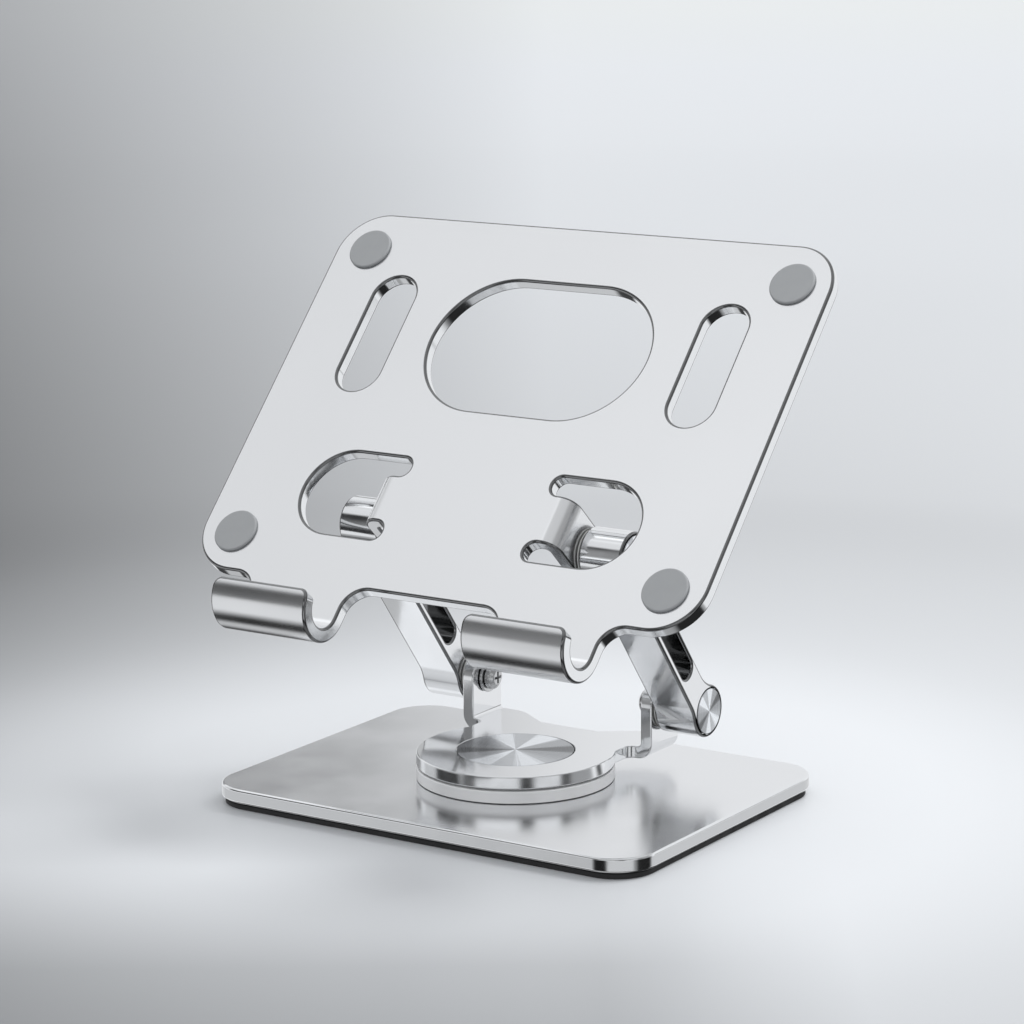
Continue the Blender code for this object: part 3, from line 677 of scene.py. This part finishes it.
def build_ring():
    low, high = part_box("turntable_ring")
    radius, height = high.x, high.z - low.z
    profile = [
        (RING_INNER, 0, FINE_EDGE),
        (radius, 0, FINE_EDGE),
        (radius, height, 0.4 * MM),
        (RING_INNER, height, FINE_EDGE),
    ]
    bm = turned(profile, closed=True)
    looks = (LOOKS["ring"],)
    place = Matrix.Translation((0, 0, low.z))
    add_piece("turntable_ring_metal", bm, looks, "base", ["turntable_ring"], place)


# Yoke


def yoke_outline(top):
    """Disc with a neck to each side that runs out into an ear; the ears are still flat."""
    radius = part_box("turntable_ring")[1].x
    axis = JOINT["arm_tilt"]
    front, rear = axis.y - BOSS_RADIUS, axis.y + BOSS_RADIUS
    neck_turn = math.acos(NECK_X / radius)
    bend_length = math.pi / 2 * (BEND_INSIDE + YOKE_SHEET / 2)
    rise = axis.z + BOSS_RADIUS - (top + BEND_INSIDE)
    ear_end = TAB_OUTER_FACE - BEND_INSIDE - YOKE_SHEET + bend_length + rise
    first, last = -math.pi - neck_turn, neck_turn
    steps = 96
    disc = []
    for k in range(1, steps):
        spot = rotated(Vector((radius, 0)), first + (last - first) * k / steps)
        disc.append((*spot, 0))
    side = [
        (*rotated(Vector((radius, 0)), neck_turn), 1.5 * MM),
        (NECK_X, front, 2.5 * MM),
        (ear_end, front, BOSS_RADIUS),
        (ear_end, rear, BOSS_RADIUS),
        (20 * MM, rear, 9 * MM),
        (6 * MM, 25.5 * MM, 9 * MM),
    ]
    return rounded(disc + side + [(-x, y, r) for x, y, r in reversed(side)])


def bend_ear(position, normal):
    """Folds what lies beyond the bend line up into an ear."""
    start = TAB_OUTER_FACE - BEND_INSIDE - YOKE_SHEET
    beyond = abs(position.x) - start
    if beyond <= 0:
        return position, normal
    side = math.copysign(1, position.x)
    neutral = BEND_INSIDE + YOKE_SHEET / 2
    along, height, turn = fold(beyond, position.z, BEND_INSIDE, neutral, math.pi / 2)
    lean = rotated(Vector((normal.x * side, normal.z)), turn)
    return Vector((side * (start + along), position.y, height)), Vector((side * lean.x, normal.y, lean.y))


def build_yoke():
    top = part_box("yoke_cap")[1].z
    axis = JOINT["arm_tilt"]
    start = TAB_OUTER_FACE - BEND_INSIDE - YOKE_SHEET
    neutral = BEND_INSIDE + YOKE_SHEET / 2
    axis_along = start + math.pi / 2 * neutral + axis.z - (top + BEND_INSIDE)
    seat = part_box("yoke_cap")[1].x + CLEARANCE
    head, bolt = PIVOT_HEAD_RADIUS + CLEARANCE, PIVOT_RADIUS + CLEARANCE
    pocket = [
        (seat + 2 * FINE_EDGE, 0, 0),
        (seat, 0, FINE_EDGE),
        (seat, -CAP_POCKET_DEPTH, FINE_EDGE),
        (head, -CAP_POCKET_DEPTH, FINE_EDGE),
        (head, -HEAD_POCKET_DEPTH, FINE_EDGE),
        (bolt, -HEAD_POCKET_DEPTH, FINE_EDGE),
        (bolt, -YOKE_SHEET, FINE_EDGE),
        (bolt + 2 * FINE_EDGE, -YOKE_SHEET, 0),
    ]
    walls = [rim(yoke_outline(top), YOKE_SHEET, SOFT_EDGE), bore(pocket, steps=CIRCLE_STEPS)]
    walls += [bore(drilled(BOLT_HOLE, YOKE_SHEET), side * axis_along, axis.y, steps=36) for side in (-1, 1)]
    bm = sheet(walls)
    steps = round(math.pi / 2 / FOLD_STEP)
    for side in (-1, 1):
        for k in range(steps + 1):
            x = side * (start + neutral * math.pi / 2 * k / steps)
            crease(bm, list(bm.faces), (x, 0, 0), (1, 0, 0))
    bend(bm, bend_ear)
    place = Matrix.Translation((0, 0, top))
    add_piece("yoke_metal", bm, MIRROR, "yoke", ["yoke"], place)


def build_yoke_cap():
    low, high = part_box("yoke_cap")
    radius, thickness = high.x, high.z - low.z
    profile = [(0, 0, 0), (radius, 0, FINE_EDGE), (radius, thickness, 0.2 * MM), (0, thickness, 0)]
    bm = turned(profile)
    looks = (LOOKS["sunburst"],)
    place = Matrix.Translation((0, 0, low.z))
    add_piece("yoke_cap_sunburst", bm, looks, "yoke", ["yoke_cap"], place)


# Arms


def arm_outline(length):
    """Side view of an arm: a round boss at each end, blended into a bar that sits nearer the front."""
    blends = []
    for depth, side in ((ARM_REAR, 1), (ARM_FRONT, -1)):
        along = math.sqrt((BOSS_RADIUS + ARM_BLEND) ** 2 - (depth + ARM_BLEND) ** 2)
        centre = Vector((side * (depth + ARM_BLEND), along))
        turn = math.atan2(along, depth + ARM_BLEND)
        steps = math.ceil(turn / ARC_STEP)
        blend = []
        for k in range(steps + 1):
            angle = turn * (1 - k / steps)
            toward = Vector((-side * math.cos(angle), -math.sin(angle)))
            blend.append((centre + toward * ARM_BLEND, -toward))
        blends.append((turn, blend))
    (rear_turn, rear_blend), (front_turn, front_blend) = blends
    first, last = math.pi - front_turn, math.tau + rear_turn
    steps = math.ceil((last - first) / ARC_STEP)
    boss = []
    for k in range(1, steps):
        normal = rotated(Vector((1, 0)), first + (last - first) * k / steps)
        boss.append((normal * BOSS_RADIUS, normal))
    lower = front_blend[::-1] + boss + rear_blend
    upper = [(Vector((p.x, length - p.y)), Vector((n.x, -n.y))) for p, n in reversed(lower)]
    return lower + upper


def build_arm(name, side):
    lower, upper = JOINT["arm_tilt"], JOINT["tray_tilt"]
    length = (upper - lower).length
    lean = math.atan2(lower.y - upper.y, upper.z - lower.z)
    low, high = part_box(f"arm_{name}")
    width = high.x - low.x
    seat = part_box(f"lower_cap_{name}")
    seat_radius = (seat[1].z - seat[0].z) / 2 + CLEARANCE
    outline = arm_outline(length)
    half = length / 2 - ARM_SLOT_END
    slot = rounded(box_corners(ARM_SLOT_HALF_WIDTH, half, ARM_SLOT_HALF_WIDTH, ARM_SLOT_OFFSET, length / 2))
    if side < 0:
        outline, slot = mirrored(outline), mirrored(slot)
    chamber = width - BORE_FLOOR
    profile = [
        (seat_radius + 2 * FINE_EDGE, 0, 0),
        (seat_radius, 0, FINE_EDGE),
        (seat_radius, -CAP_SEAT_DEPTH, FINE_EDGE),
        (NUT_ROOM, -CAP_SEAT_DEPTH, FINE_EDGE),
        (NUT_ROOM, -chamber, FINE_EDGE),
        (BOLT_HOLE, -chamber, FINE_EDGE),
        (BOLT_HOLE, -width, FINE_EDGE),
        (BOLT_HOLE + 2 * FINE_EDGE, -width, 0),
    ]
    walls = [rim(outline, width, EDGE), rim(slot, width, EDGE, side=-1)]
    walls += [bore(profile), bore(profile, 0, length)]
    rear = Vector((0, math.cos(lean), math.sin(lean)))
    along = Vector((0, -math.sin(lean), math.cos(lean)))
    outer_face = high.x if side > 0 else low.x
    place = frame_at(rear * side, along, Vector((side, 0, 0)), Vector((outer_face, lower.y, lower.z)))
    bm = moved(sheet(walls, shaded_wall=1), place)
    add_piece(f"arm_{name}_metal", bm, SATIN, "arms", [f"arm_{name}"])


# Hinge hardware


def axis_frame(node, side):
    """A frame whose Z axis runs outward along a hinge, from the inner face of a node."""
    low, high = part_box(node)
    middle = (low + high) / 2
    inner_face = low.x if side > 0 else high.x
    x_axis, z_axis = Vector((0, 1, 0)), Vector((side, 0, 0))
    return frame_at(x_axis, z_axis.cross(x_axis), z_axis, Vector((inner_face, middle.y, middle.z)))


def add_turned(name, node, profile, look, body, side, closed=False):
    bm = turned(profile, HARDWARE_STEPS, closed)
    add_piece(name, bm, (LOOKS[look],), body, [node], axis_frame(node, side))


def build_screw(level, name, side, body):
    """Pan-head screw with a cross recess; its head faces the middle of the stand."""
    node = f"{level}_screw_{name}"
    low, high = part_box(node)
    length = high.x - low.x
    radius = (high.z - low.z) / 2
    head, shaft = SCREW_HEAD_HEIGHT, SCREW_RADIUS
    profile = [
        (0, 0, 0),
        (radius * 0.6, 0, 1.0 * MM),
        (radius * 0.97, 1.0 * MM, 0.8 * MM),
        (radius, head, FINE_EDGE),
        (shaft, head, FINE_EDGE),
        (shaft, length, 0.3 * MM),
        (0, length, 0),
    ]
    piece_name = f"{level}_screw_{name}_steel"
    bm = turned(profile, HARDWARE_STEPS)
    piece = add_piece(piece_name, bm, (LOOKS["steel"],), body, [node], axis_frame(node, side))
    cross = bmesh.new()
    long, short, depth = 2.0 * MM, 0.45 * MM, 1.2 * MM
    corners = []
    for k in range(4):
        for a, b in ((long, -short), (long, short), (short, short)):
            corners.append(rotated(Vector((a, b)), k * math.pi / 2))
    levels = ((-1 * MM, 1.0), (depth, 0.7))
    rows = [[cross.verts.new((*(c * scale), z)) for c in corners] for z, scale in levels]
    for i in range(len(corners)):
        cross.faces.new((rows[0][i - 1], rows[0][i], rows[1][i], rows[1][i - 1]))
    cross.faces.new(rows[0])
    cross.faces.new(rows[1])
    bmesh.ops.recalc_face_normals(cross, faces=cross.faces)
    mesh = bpy.data.meshes.new(f"cross_{level}_{name}")
    cross.to_mesh(mesh)
    cross.free()
    cutter = bpy.data.objects.new(mesh.name, mesh)
    bpy.context.scene.collection.objects.link(cutter)
    cutter.matrix_world = axis_frame(node, side)
    bpy.context.view_layer.update()
    modifier = piece.modifiers.new("cross", "BOOLEAN")
    modifier.object = cutter
    modifier.solver = "EXACT"
    bake_modifiers(piece)
    bpy.data.objects.remove(cutter)


def bake_modifiers(piece):
    """Leaves the piece as a plain mesh with its modifiers applied."""
    graph = bpy.context.evaluated_depsgraph_get()
    mesh = bpy.data.meshes.new_from_object(piece.evaluated_get(graph))
    piece.modifiers.clear()
    piece.data = mesh


def ring_profile(outer, inner, thickness, fillet):
    return [(inner, 0, fillet), (outer, 0, fillet), (outer, thickness, fillet), (inner, thickness, fillet)]


def build_hinge(level, name, side):
    head_body = "yoke" if level == "lower" else "tray"
    build_screw(level, name, side, "arms")
    for kind, look, body, slot in (
        ("head_washer", "steel", head_body, "steel"),
        ("friction_washer", "nylon", "arms", "white_nylon"),
    ):
        node = f"{level}_{kind}_{name}"
        low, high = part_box(node)
        thickness = high.x - low.x
        profile = ring_profile((high.z - low.z) / 2, BOLT_HOLE, thickness, thickness / 4)
        add_turned(f"{node}_piece", node, profile, look, body, side, closed=True)
    node = f"{level}_cap_{name}"
    low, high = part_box(node)
    radius, thickness = (high.z - low.z) / 2, high.x - low.x
    profile = [(0, 0, 0), (radius, 0, FINE_EDGE), (radius, thickness, 0.2 * MM), (0, thickness, 0)]
    add_turned(f"{node}_sunburst", node, profile, "sunburst", "arms", side)


# Tray


def tray_outline():
    """Outline of the flat sheet, with the tongues of the hooks still straight."""
    half = TRAY_WIDTH / 2
    tip = HOOK_START - math.pi * (HOOK_INSIDE + TRAY_SHEET / 2)
    inner, outer = HOOK_X - HOOK_HALF_WIDTH, HOOK_X + HOOK_HALF_WIDTH
    right = [
        (inner, TRAY_BOTTOM, HOOK_FILLET),
        (inner, tip, HOOK_CORNER),
        (outer, tip, HOOK_CORNER),
        (outer, TRAY_BOTTOM, HOOK_FILLET),
        (half, TRAY_BOTTOM, TRAY_CORNER),
        (half, TRAY_TOP, TRAY_CORNER),
    ]
    return rounded(right + [(-x, u, radius) for x, u, radius in reversed(right)])


def tab_bend_x():
    return TAB_OUTER_FACE - BEND_INSIDE - TRAY_SHEET


def tab_axis_x():
    """Where the hinge axis lies on a tab while the sheet is flat."""
    bend_length = math.pi / 2 * (BEND_INSIDE + TRAY_SHEET / 2)
    return tab_bend_x() + bend_length + AXIS_BEHIND_FRONT - BEND_INSIDE - TRAY_SHEET


def tab_tip_x():
    return tab_axis_x() + BOSS_RADIUS


def tab_cutout():
    """D-shaped hole around the right hinge tab, with a relief notch at each end of the bend."""
    corners = [
        (RELIEF_INNER_X, CUTOUT_HALF_HEIGHT, RELIEF_RADIUS),
        (CUTOUT_OUTER_X, CUTOUT_HALF_HEIGHT, CUTOUT_HALF_HEIGHT),
        (CUTOUT_OUTER_X, -CUTOUT_HALF_HEIGHT, CUTOUT_HALF_HEIGHT),
        (RELIEF_INNER_X, -CUTOUT_HALF_HEIGHT, RELIEF_RADIUS),
        (RELIEF_INNER_X, -BOSS_RADIUS, RELIEF_RADIUS),
        (tab_tip_x(), -BOSS_RADIUS, BOSS_RADIUS),
        (tab_tip_x(), BOSS_RADIUS, BOSS_RADIUS),
        (RELIEF_INNER_X, BOSS_RADIUS, RELIEF_RADIUS),
    ]
    return rounded(corners[::-1])


def in_tab(x, u):
    margin = 0.02 * MM
    return tab_bend_x() - margin < abs(x) < tab_tip_x() + margin and abs(u) < BOSS_RADIUS + margin


def bend_tray(position, normal):
    """Folds the hinge tabs straight back and curls the tongues forward through half a turn."""
    x, u, n = position
    if in_tab(x, u):
        side = math.copysign(1, x)
        beyond = max(0.0, abs(x) - tab_bend_x())
        neutral = BEND_INSIDE + TRAY_SHEET / 2
        along, depth, turn = fold(beyond, -n, BEND_INSIDE + TRAY_SHEET, neutral, math.pi / 2)
        lean = rotated(Vector((normal.x * side, -normal.z)), turn)
        return Vector((side * (tab_bend_x() + along), u, -depth)), Vector((side * lean.x, normal.y, -lean.y))
    if u < HOOK_START:
        neutral = HOOK_INSIDE + TRAY_SHEET / 2
        along, height, turn = fold(HOOK_START - u, n, HOOK_INSIDE, neutral, math.pi)
        lean = rotated(Vector((-normal.y, normal.z)), turn)
        return Vector((x, HOOK_START - along, height)), Vector((normal.x, -lean.x, lean.y))
    return position, normal


def crease_tray(bm):
    """Splits the flat sheet along the lines where it is going to bend."""
    hook_length = math.pi * (HOOK_INSIDE + TRAY_SHEET / 2)
    steps = round(math.pi / FOLD_STEP)
    for k in range(steps):
        crease(bm, list(bm.faces), (0, HOOK_START - hook_length * k / steps, 0), (0, 1, 0))
    tab_length = math.pi / 2 * (BEND_INSIDE + TRAY_SHEET / 2)
    steps = round(math.pi / 2 / FOLD_STEP)
    for side in (-1, 1):
        for k in range(steps + 1):
            x = side * (tab_bend_x() + tab_length * k / steps)
            faces = list(bm.faces)
            if k > 0:
                middles = ((face, face.calc_center_median()) for face in bm.faces)
                faces = [face for face, middle in middles if in_tab(middle.x, middle.y)]
            crease(bm, faces, (x, 0, 0), (1, 0, 0))


def build_tray():
    stadium = rounded(box_corners(STADIUM_HALF_LENGTH, STADIUM_RADIUS, STADIUM_RADIUS, 0, STADIUM_CENTRE))
    walls = [rim(tray_outline(), TRAY_SHEET, EDGE), rim(stadium, TRAY_SHEET, EDGE, side=-1)]
    slot = rounded(box_corners(SLOT_HALF_WIDTH, SLOT_HALF_LENGTH, SLOT_HALF_WIDTH, SLOT_X, STADIUM_CENTRE))
    for path in (slot, tab_cutout()):
        walls.append(rim(path, TRAY_SHEET, EDGE, side=-1))
        walls.append(rim(mirrored(path), TRAY_SHEET, EDGE, side=-1))
    walls += [bore(drilled(BOLT_HOLE, TRAY_SHEET), side * tab_axis_x(), steps=36) for side in (-1, 1)]
    bm = sheet(walls)
    crease_tray(bm)
    bend(bm, bend_tray)
    add_piece("tray_metal", moved(bm, tray_frame()), SATIN, "tray", ["tray"])


def tray_frame():
    """X to the right, Y up the sheet from the upper hinge axis, Z out of the front face."""
    x_axis = Vector((1, 0, 0))
    up_sheet = Vector((0, math.sin(TRAY_LEAN), math.cos(TRAY_LEAN)))
    outward = x_axis.cross(up_sheet)
    return frame_at(x_axis, up_sheet, outward, JOINT["tray_tilt"] + outward * AXIS_BEHIND_FRONT)


def build_tray_pads():
    to_tray = tray_frame()
    for level in ("lower", "upper"):
        for side in ("left", "right"):
            node = f"tray_pad_{level}_{side}"
            low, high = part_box(node)
            middle = to_tray.inverted() @ ((low + high) / 2)
            radius, bottom = (high.x - low.x) / 2, 0.05 * MM
            height = 2 * (middle.z - bottom)
            profile = [(0, 0, 0), (radius, 0, FINE_EDGE), (radius, height, 0.45 * MM), (0, height, 0)]
            place = to_tray @ Matrix.Translation((middle.x, middle.y, bottom))
            bm, looks = turned(profile), (LOOKS["silicone"],)
            piece = add_piece(f"{node}_silicone", bm, looks, "tray", [node], place)


def dress_cad_nodes():
    """Finishes for the small hardware that stays as it is in the frame."""
    for name, node in frame["nodes"].items():
        if node.hide_render:
            continue
        look = LOOKS["nylon"] if name == "glide_washer" else LOOKS["steel"]
        node.data.materials.clear()
        node.data.materials.append(look)


# Studio


def build_floor():
    """Pale floor with a painted pool of light round the stand, painted dimmer to its left and with painted
    shade before it.
    """
    bm = bmesh.new()
    bmesh.ops.create_circle(bm, cap_ends=True, segments=96, radius=FLOOR_RADIUS)
    mesh = bpy.data.meshes.new("studio_floor")
    bm.to_mesh(mesh)
    bm.free()
    look = Look("studio_floor_look", (0.7, 0.7, 0.7), 0.4, metallic=0.0)
    look.shader.inputs["Specular IOR Level"].default_value = 0.3
    distance = look.node("ShaderNodeVectorMath", {0: look.place}, operation="LENGTH").outputs["Value"]
    nearness = look.node("ShaderNodeMath", {0: distance, 1: FLOOR_RADIUS}, operation="DIVIDE").outputs[0]
    far = look.node("ShaderNodeMath", {0: nearness, 1: 0.5}, operation="POWER").outputs[0]
    # Painted pool of light: floor brightness by distance, for the dim and the lit side
    pools = []
    for stops in (FLOOR_DIM, FLOOR_LIT):
        pool = look.node("ShaderNodeValToRGB", {"Fac": far})
        pool.color_ramp.interpolation = "CARDINAL"
        paint_ramp(pool.color_ramp, [(math.sqrt(metres / FLOOR_RADIUS), level) for metres, level in stops])
        pools.append(pool.outputs["Color"])
    toward = []
    for way in (FLOOR_TO_LIGHT, FLOOR_TO_FRONT):
        dot = look.node("ShaderNodeVectorMath", {0: look.place, 1: way}, operation="DOT_PRODUCT")
        toward.append(dot.outputs["Value"])
    to_light, to_front = toward
    blend = {0: distance, 1: POOL_BLEND_GROWTH, 2: POOL_BLEND}
    reach = look.node("ShaderNodeMath", blend, operation="MULTIPLY_ADD")
    share = look.node("ShaderNodeMath", {0: to_light, 1: reach.outputs[0]}, operation="DIVIDE")
    lit = look.between(share.outputs[0], 0, 1, -0.75, 0.05)
    # Painted shadow on the floor in front of the stand, towards the camera
    ahead = look.between(to_front, 1, FLOOR_SHADE, 0.06, 0.14)
    beside = look.between(to_light, 0, 1, 0.02, 0.08)
    shade = look.node("ShaderNodeMix", {0: beside, 2: ahead, 3: 1.0}, data_type="FLOAT").outputs[0]
    shaded = {0: look.tinted(lit, *pools), "Scale": shade}
    colour = look.node("ShaderNodeVectorMath", shaded, operation="SCALE")
    look.link(colour.outputs[0], "Base Color")
    mesh.materials.append(look.material)
    floor = bpy.data.objects.new("studio_floor", mesh)
    bpy.context.scene.collection.objects.link(floor)
    floor.visible_glossy = False


def add_softbox(name, size, power, location, target):
    light = bpy.data.lights.new(name, "AREA")
    light.shape = "RECTANGLE"
    light.size, light.size_y = size
    light.energy = power
    box = bpy.data.objects.new(name, light)
    bpy.context.scene.collection.objects.link(box)
    box.location = location
    box.rotation_euler = (Vector(target) - Vector(location)).to_track_quat("-Z", "Y").to_euler()
    box.visible_camera = False
    box.visible_glossy = False


def build_world():
    """Plain pale surroundings; what metal mirrors has the bright panels and dark gaps of a studio."""
    world = bpy.data.worlds.new("studio")
    bpy.context.scene.world = world
    world.use_nodes = True
    tree = world.node_tree
    tree.nodes.clear()

    def node(kind, inputs=(), **settings):
        made = tree.nodes.new(kind)
        for key, value in settings.items():
            setattr(made, key, value)
        for key, value in dict(inputs).items():
            if isinstance(value, bpy.types.NodeSocket):
                tree.links.new(value, made.inputs[key])
            else:
                made.inputs[key].default_value = value
        return made.outputs[0]

    def math_node(operation, first, second):
        return node("ShaderNodeMath", {0: first, 1: second}, operation=operation)

    def within(value, low, high, softness):
        """1 between low and high, falling off softly to 0 outside."""
        rise = {"Value": value, "From Min": low - softness, "From Max": low + softness}
        fall = {"Value": value, "From Min": high + softness, "From Max": high - softness}
        smooth = {"interpolation_type": "SMOOTHSTEP"}
        rising, falling = (node("ShaderNodeMapRange", ends, **smooth) for ends in (rise, fall))
        return math_node("MULTIPLY", rising, falling)

    split = tree.nodes.new("ShaderNodeSeparateXYZ")
    tree.links.new(node("ShaderNodeTexCoord"), split.inputs[0])
    x, y, z = split.outputs
    azimuth = math_node("MULTIPLY", math_node("ARCTAN2", x, math_node("MULTIPLY", y, -1.0)), 180 / math.pi)
    level = MIRRORED_DARK
    for start, end, low, high, brightness in MIRRORED_PANELS:
        across = within(azimuth, start, end, PANEL_SOFT_AZIMUTH)
        upright = within(z, low, high, PANEL_SOFT_ELEVATION)
        share = math_node("MULTIPLY", across, upright)
        inputs = {0: share, 2: level, 3: brightness}
        level = node("ShaderNodeMix", inputs, data_type="FLOAT")
    red, blue = (math_node("MULTIPLY", level, tint) for tint in (0.985, 1.02))
    colour = node("ShaderNodeCombineColor", {0: red, 1: level, 2: blue})
    mirrored_world = node("ShaderNodeBackground", {"Color": colour})
    plain = node("ShaderNodeBackground", {"Color": (0.78, 0.79, 0.80, 1), "Strength": 1.1})
    path = tree.nodes.new("ShaderNodeLightPath")
    mix = node("ShaderNodeMixShader", {0: path.outputs["Is Glossy Ray"], 1: plain, 2: mirrored_world})
    out = tree.nodes.new("ShaderNodeOutputWorld")
    tree.links.new(mix, out.inputs["Surface"])


def build_camera():
    level = math.cos(CAMERA_ELEVATION)
    back = Vector(
        (math.sin(CAMERA_AZIMUTH) * level, -math.cos(CAMERA_AZIMUTH) * level, math.sin(CAMERA_ELEVATION))
    )
    data = bpy.data.cameras.new("photo_camera")
    data.lens = CAMERA_LENS
    data.sensor_width = 36
    camera = bpy.data.objects.new("photo_camera", data)
    bpy.context.scene.collection.objects.link(camera)
    turn = (-back).to_track_quat("-Z", "Y").to_matrix() @ Matrix.Rotation(CAMERA_ROLL, 3, "Z")
    camera.matrix_world = Matrix.Translation(CAMERA_TARGET + back * CAMERA_DISTANCE) @ turn.to_4x4()
    bpy.context.scene.camera = camera


def main():
    scene = bpy.context.scene
    scene.view_settings.view_transform = "Standard"
    build_camera()
    build_base()
    build_foot_pad()
    build_ring()
    build_yoke()
    build_yoke_cap()
    for name, side in (("left", -1), ("right", 1)):
        build_arm(name, side)
        build_hinge("lower", name, side)
        build_hinge("upper", name, side)
    build_tray()
    build_tray_pads()
    dress_cad_nodes()
    build_floor()
    add_softbox("key", (0.5, 0.5), 7, (0.35, 0.45, 0.85), (0, 0, 0.05))
    build_world()


main()
